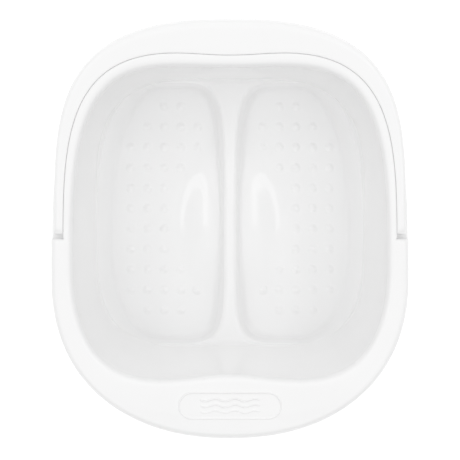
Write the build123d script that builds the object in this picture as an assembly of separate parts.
"""A pedicure foot bath: one moulded basin with two foot wells, its swinging carry handle and four grip pads.

The frame is in millimetres: +X to the right, +Y towards the folded handle, +Z up. The origin is on the
surface that the bath stands on, in the middle of its overall length and width.
"""

import math
import os
from dataclasses import dataclass, replace

from build123d import *

# Levels
RIM_TOP = 200.0
RIM_SKIRT_BOTTOM = 178.0
LEDGE_TOP = 185.0
PLATEAU_TOP = 35.0
FLOOR_TOP = 7.0

# Walls of the two mouldings
WALL = 2.6
RIB = 1.8

# Rounding
OPENING_ROUND = 5.0
RIM_EDGE_ROUND = 6.0
APRON_CROWN_RADIUS = 330.0
APRON_START_Y = -142.0
APRON_RIB_X = (25.0, 70.0, 112.0)
STEP_ROUND = 2.0
HANDLE_EDGE_ROUND = 5.5

# Carry handle and its pivot
HANDLE_TOP = 199.6
HANDLE_BOTTOM = 185.6
PIVOT_Y = 1.0
PIVOT_Z = 192.6
PIN_RADIUS = 4.0
PIN_CLEARANCE = 0.08
PIN_TIP_X = 161.9
PIN_CHAMFER = 0.8
SOCKET_BOTTOM_X = 161.2
BOSS_X = (154.0, 166.0)
HANDLE_END_RADIUS = 7.0
NOTCH_FRONT_Y = -11.0
HANDLE_SOLID_TO_Y = 14.0
HANDLE_RIBS = 11

# Massage nubs: one row of marks for each row of nubs, from the toes to the heel, outer side of the foot first
NUB_MAP = (
    "..##.",
    ".####",
    "#####",
    "####.",
    "###..",
    "###..",
    "###..",
    "###..",
    "####.",
    "#####",
    ".###.",
)
NUB_RADIUS = 4.4
NUB_HEIGHT = 3.2
NUB_COLUMN_SPACING = 18.6
NUB_ROW_SPACING = 22.7
FIRST_NUB_X = -110.6
FIRST_NUB_Y = 131.3

# Arch support beside the ridge
ARCH_CENTRE = (-12.0, 2.0)
ARCH_HALF_WIDTH = 46.0
ARCH_HALF_LENGTH = 76.0
ARCH_HEIGHT = 15.0

# Grip pads and their sockets
PAD_RADIUS = 13.0
PAD_PLACES = {"back": 105.0, "front": -88.0}
PAD_X = 74.0
PAD_FIT = 0.1
PAD_RING_WALL = 2.4
PAD_RING_BOTTOM = 1.6
PAD_EDGE_ROUND = 1.0
PAD_GROOVES = 5
PAD_GROOVE = 1.2
PAD_GROOVE_SPACING = 4.4

# Plain raised mark on the front apron
EMBLEM_Y = -178.5
EMBLEM_LENGTH = 104.0
EMBLEM_WIDTH = 28.0
EMBLEM_LINE = 1.4
EMBLEM_RELIEF = 0.5
WAVE_PITCH = 20.0
WAVE_SPACING = 6.0
WAVE_HEIGHT = 1.3

DIP_WIDTH = 50.0
OUTLINE_POINTS = 64

# Cutting shapes run on past the rim, and the basin's draft widens them there
OVER_RIM = 10.0
DRAFT_OVER_RIM = 0.7


@dataclass(frozen=True)
class Outline:
    """A closed oval in plan. On each side of y_wide a point (x, y) satisfies (x/half_width)^p + (y/reach)^q = 1,
    with its own reach and powers towards the back and the front. A dip pulls the middle of an end inwards."""

    half_width: float
    y_wide: float
    back: float
    front: float
    back_powers: tuple
    front_powers: tuple
    back_dip: float = 0.0
    front_dip: float = 0.0
    x_centre: float = 0.0
    inner_half_width: float = 0.0
    inner_powers: tuple = ()

    def grown(self, amount):
        """The same oval, larger all round by amount."""
        inner = self.inner_half_width + amount if self.inner_half_width else 0.0
        return replace(
            self,
            half_width=self.half_width + amount,
            back=self.back + amount,
            front=self.front + amount,
            inner_half_width=inner,
        )

    def point(self, angle):
        """The point of the oval on the ray at angle from its centre, found by halving."""
        across, along = math.cos(angle), math.sin(angle)
        half, powers = self.half_width, self.back_powers if along >= 0 else self.front_powers
        if self.inner_half_width and across > 0:
            half, powers = self.inner_half_width, self.inner_powers
        reach = self.back if along >= 0 else self.front
        low, high = 0.0, 2.0 * (half + reach)
        for _ in range(60):
            r = (low + high) / 2
            inside = abs(r * across / half) ** powers[0] + abs(r * along / reach) ** powers[1] < 1
            low, high = (r, high) if inside else (low, r)
        x, y = r * across, r * along
        dip = self.back_dip if along >= 0 else -self.front_dip
        return x + self.x_centre, y + self.y_wide - dip * math.exp(-((x / DIP_WIDTH) ** 2))

    def passes(self, edge):
        """Whether an edge runs along this oval in plan."""
        for part_way in (0.1, 0.5, 0.9):
            x, y, _ = edge.position_at(part_way)
            dip = self.back_dip if y > self.y_wide else -self.front_dip
            y = y - self.y_wide + dip * math.exp(-((x / DIP_WIDTH) ** 2))
            powers, reach = (self.back_powers, self.back) if y > 0 else (self.front_powers, self.front)
            if abs(abs(x / self.half_width) ** powers[0] + abs(y / reach) ** powers[1] - 1) > 0.03:
                return False
        return True

    def face(self, z):
        turns = [2 * math.pi * (i + 0.5) / OUTLINE_POINTS for i in range(OUTLINE_POINTS)]
        return Face(Wire(Spline([(*self.point(a), z) for a in turns], periodic=True)))

    def prism(self, low, high):
        return extrude(self.face(low), amount=high - low)


# Plan outlines, from the outside of the rim inwards
RIM = Outline(179.4, -50.0, 255.0, 162.7, (2.5, 3.6), (2.2, 2.24))
HANDLE_OUTER = Outline(176.8, -50.0, 259.7, 159.0, (2.55, 4.8), (2.2, 2.24))
HANDLE_INNER = Outline(167.65, -38.0, 215.4, 150.0, (3.83, 3.66), (3.0, 3.0), back_dip=4.2)
STEP = Outline(166.95, -38.0, 214.7, 150.0, (3.83, 3.66), (3.0, 3.0), back_dip=4.2)
OPENING = Outline(160.9, -40.0, 205.2, 117.5, (4.8, 3.1), (4.9, 2.1), back_dip=1.9, front_dip=7.4)
PLATEAU = Outline(146.8, -20.0, 182.0, 116.0, (3.2, 4.5), (3.4, 3.4), back_dip=3.0, front_dip=4.5)

# Outlines of the left well, at the plateau and at the floor
WELL_X, WELL_Y = -72.8, -15.0
WELL_TOP = Outline(
    73.2, WELL_Y, 171.5, 115.5, (2.55, 2.55), (2.55, 2.55),
    x_centre=WELL_X, inner_half_width=67.2, inner_powers=(5.5, 5.5),
)
WELL_FLOOR = Outline(
    59.4, WELL_Y, 166.0, 111.4, (2.3, 2.3), (2.26, 2.26),
    x_centre=WELL_X, inner_half_width=59.4, inner_powers=(5.5, 5.5),
)


def both_sides(solid):
    """The solid and its mirror image across the middle of the bath."""
    return solid + mirror(solid, about=Plane.YZ)


def block(x, y, z):
    """A box between two values along each axis."""
    size = Box(x[1] - x[0], y[1] - y[0], z[1] - z[0])
    return Pos((x[0] + x[1]) / 2, (y[0] + y[1]) / 2, (z[0] + z[1]) / 2) * size


def bowl(growth, top):
    """The space in the basin: a tapered body over two foot wells. Growth moves walls out and floors down."""
    mouth = OPENING.grown(growth - OPENING_ROUND / 2 + DRAFT_OVER_RIM)
    plateau = PLATEAU_TOP - growth
    body = loft([PLATEAU.grown(growth).face(plateau), mouth.face(RIM_TOP + OVER_RIM)], ruled=True)
    if top < RIM_TOP + OVER_RIM:
        body = body - block((-250, 250), (-250, 250), (top, RIM_TOP + OVER_RIM + 1))
    floor = WELL_FLOOR.grown(growth).face(FLOOR_TOP - growth)
    well = loft([floor, WELL_TOP.grown(growth).face(plateau)], ruled=True)
    return body + both_sides(well)


def above_crown(drop):
    """The space over the front apron, whose top falls away gently as part of a large roll."""
    roll = Rot(0, 90, 0) * Cylinder(APRON_CROWN_RADIUS, 500)
    space = block((-220, 220), (APRON_START_Y - 90, APRON_START_Y), (RIM_TOP - 60, RIM_TOP + 20))
    return space - Pos(0, APRON_START_Y, RIM_TOP - drop - APRON_CROWN_RADIUS) * roll


def handle_space(growth):
    """The space that the folded handle lies in: outside the step, behind the notches, over the ledge."""
    low = LEDGE_TOP - growth
    space = block((-200, 200), (NOTCH_FRONT_Y - growth, 250), (low, RIM_TOP + 20))
    return space - STEP.grown(-growth).prism(low - 1, RIM_TOP + 21)


def pivot_cylinder(radius, x_low, x_high):
    """A cylinder on the left part of the handle's pivot axis."""
    middle = -(x_low + x_high) / 2
    return Pos(middle, PIVOT_Y, PIVOT_Z) * Rot(0, 90, 0) * Cylinder(radius, x_high - x_low)


def arch(shrink):
    """The left arch support: an ellipsoid that rises from the floor against the ridge."""
    x, y = ARCH_CENTRE
    size = (ARCH_HALF_WIDTH - shrink, ARCH_HALF_LENGTH - shrink, ARCH_HEIGHT - shrink)
    lump = Pos(x, y, FLOOR_TOP) * scale(Sphere(1.0), by=size)
    return lump & block((-100, 0), (-120, 120), (FLOOR_TOP - WALL - 1, FLOOR_TOP + ARCH_HEIGHT + 1))


def nubs():
    """The rounded nubs on the floor of the left well."""
    ball_radius = (NUB_RADIUS**2 + NUB_HEIGHT**2) / (2 * NUB_HEIGHT)
    ball = Pos(0, 0, NUB_HEIGHT - ball_radius) * Sphere(ball_radius)
    cap = ball & block((-9, 9), (-9, 9), (-WALL / 2, NUB_HEIGHT + 1))
    return [
        Pos(FIRST_NUB_X + column * NUB_COLUMN_SPACING, FIRST_NUB_Y - row * NUB_ROW_SPACING, FLOOR_TOP) * cap
        for row, marks in enumerate(NUB_MAP)
        for column, mark in enumerate(marks)
        if mark == "#"
    ]


def rim_hollow(outside):
    """The open space under the rim, with a boss left at the pivot and ribs left under the apron."""
    hollow = RIM.grown(-WALL).prism(RIM_SKIRT_BOTTOM - 1, RIM_TOP - WALL)
    hollow = hollow - above_crown(WALL) - handle_space(WALL) - outside
    boss = block((-BOSS_X[1], -BOSS_X[0]), (PIVOT_Y - 10, PIVOT_Y + 10), (PIVOT_Z - 9, RIM_TOP))
    hollow = hollow - both_sides(boss)
    for x in APRON_RIB_X:
        rib = block((-x - RIB / 2, -x + RIB / 2), (-230, -100), (RIM_SKIRT_BOTTOM + 4, RIM_TOP))
        hollow = hollow - both_sides(rib)
    return hollow


def emblem():
    """A plain raised mark on the apron, following its crown: a rounded outline around three waves."""
    inner = SlotOverall(EMBLEM_LENGTH - 2 * EMBLEM_LINE, EMBLEM_WIDTH - 2 * EMBLEM_LINE)
    mark = SlotOverall(EMBLEM_LENGTH, EMBLEM_WIDTH) - inner
    for row in (-1, 0, 1):
        crests = [(WAVE_PITCH * i / 2, row * WAVE_SPACING + WAVE_HEIGHT * (-1) ** i) for i in range(-3, 4)]
        mark = mark + trace(Spline(crests), EMBLEM_LINE)
    raised = Pos(0, EMBLEM_Y, RIM_TOP - 12) * extrude(mark, amount=16)
    return (raised & above_crown(WALL / 2)) - above_crown(-EMBLEM_RELIEF)


def pad_places():
    """Where the four pads are: a name and a centre in plan for each."""
    for end, y in PAD_PLACES.items():
        for side, x in (("left", -PAD_X), ("right", PAD_X)):
            yield f"{end}_{side}", x, y


def round_over(solid, outline, radius):
    """The solid with its top edges along an outline rounded."""
    edges = [edge for edge in solid.edges() if outline.passes(edge) and edge.center().Z > RIM_TOP - 9]
    return fillet(edges, radius)


def make_basin():
    """The basin: rim, walls, foot wells, ridge, arch supports, nubs, handle ledge, pivot sockets, pad sockets."""
    rim = RIM.prism(RIM_SKIRT_BOTTOM, RIM_TOP) - above_crown(0.0)
    rim = round_over(rim, RIM, RIM_EDGE_ROUND)
    inside = bowl(0.0, RIM_TOP + OVER_RIM)
    rim = round_over(rim - inside, OPENING.grown(-OPENING_ROUND / 2), OPENING_ROUND)
    rim = round_over(rim - handle_space(0.0), STEP, STEP_ROUND)
    rim = rim - rim_hollow(bowl(WALL, RIM_TOP)) + emblem()
    rim = rim - both_sides(pivot_cylinder(PIN_RADIUS + PIN_CLEARANCE, SOCKET_BOTTOM_X, 170.0))
    tub = bowl(WALL, RIM_SKIRT_BOTTOM) - both_sides(arch(WALL))
    tub = tub - (inside - both_sides(arch(0.0)))
    basin = rim + tub
    left = nubs()
    basin = basin.fuse(*left, *[mirror(nub, about=Plane.YZ) for nub in left])
    under_floor = FLOOR_TOP - WALL
    ring = Cylinder(PAD_RADIUS + PAD_FIT + PAD_RING_WALL, under_floor + 0.5 - PAD_RING_BOTTOM)
    ring = Pos(0, 0, (under_floor + 0.5 + PAD_RING_BOTTOM) / 2) * ring
    seat = Pos(0, 0, under_floor / 2) * Cylinder(PAD_RADIUS + PAD_FIT, under_floor)
    for _, x, y in pad_places():
        basin = basin + Pos(x, y, 0) * ring - Pos(x, y, 0) * seat
    return basin


def make_handle():
    """The carry handle: a U-shaped bail, hollow from below, with a rounded end and a pin at each pivot."""
    outer = HANDLE_OUTER.prism(HANDLE_BOTTOM, HANDLE_TOP)
    edges = [e for e in outer.edges() if e.center().Z > HANDLE_TOP - 0.1]
    bail = fillet(edges, HANDLE_EDGE_ROUND) - HANDLE_INNER.prism(HANDLE_BOTTOM - 1, HANDLE_TOP + 1)
    reach = block((-200, 200), (PIVOT_Y, 250), (HANDLE_BOTTOM - 5, HANDLE_TOP + 5))
    bail = bail & (reach + Pos(0, PIVOT_Y, PIVOT_Z) * Rot(0, 90, 0) * Cylinder(HANDLE_END_RADIUS, 400))
    channel = HANDLE_OUTER.grown(-WALL).prism(HANDLE_BOTTOM - 1, HANDLE_TOP - WALL)
    channel = channel - HANDLE_INNER.grown(WALL).prism(HANDLE_BOTTOM - 2, HANDLE_TOP)
    channel = channel & block((-200, 200), (HANDLE_SOLID_TO_Y, 250), (HANDLE_BOTTOM - 1, HANDLE_TOP))
    for i in range(HANDLE_RIBS):
        turn = 180 * (i + 1) / (HANDLE_RIBS + 1)
        rib = block((120, 300), (-RIB / 2, RIB / 2), (HANDLE_BOTTOM + 2, HANDLE_TOP))
        channel = channel - Rot(0, 0, turn) * rib
    pin = chamfer(pivot_cylinder(PIN_RADIUS, PIN_TIP_X, 171.0).edges().sort_by(Axis.X)[-1], PIN_CHAMFER)
    return bail - channel + both_sides(pin)


def make_pad():
    """A round grip pad with grooves across the face that stands on the floor."""
    pad = Pos(0, 0, (FLOOR_TOP - WALL) / 2) * Cylinder(PAD_RADIUS, FLOOR_TOP - WALL)
    pad = fillet(pad.edges().sort_by(Axis.Z)[0], PAD_EDGE_ROUND)
    for i in range(PAD_GROOVES):
        x = (i - (PAD_GROOVES - 1) / 2) * PAD_GROOVE_SPACING
        groove = block((x - PAD_GROOVE / 2, x + PAD_GROOVE / 2), (-20, 20), (-1, PAD_GROOVE))
        pad = pad - groove
    return pad


os.makedirs("parts", exist_ok=True)
export_step(make_basin(), "parts/basin.step")
export_step(make_handle(), "parts/carry_handle.step")
pad = make_pad()
for place, x, y in pad_places():
    export_step(Pos(x, y, 0) * pad, f"parts/grip_pad_{place}.step")
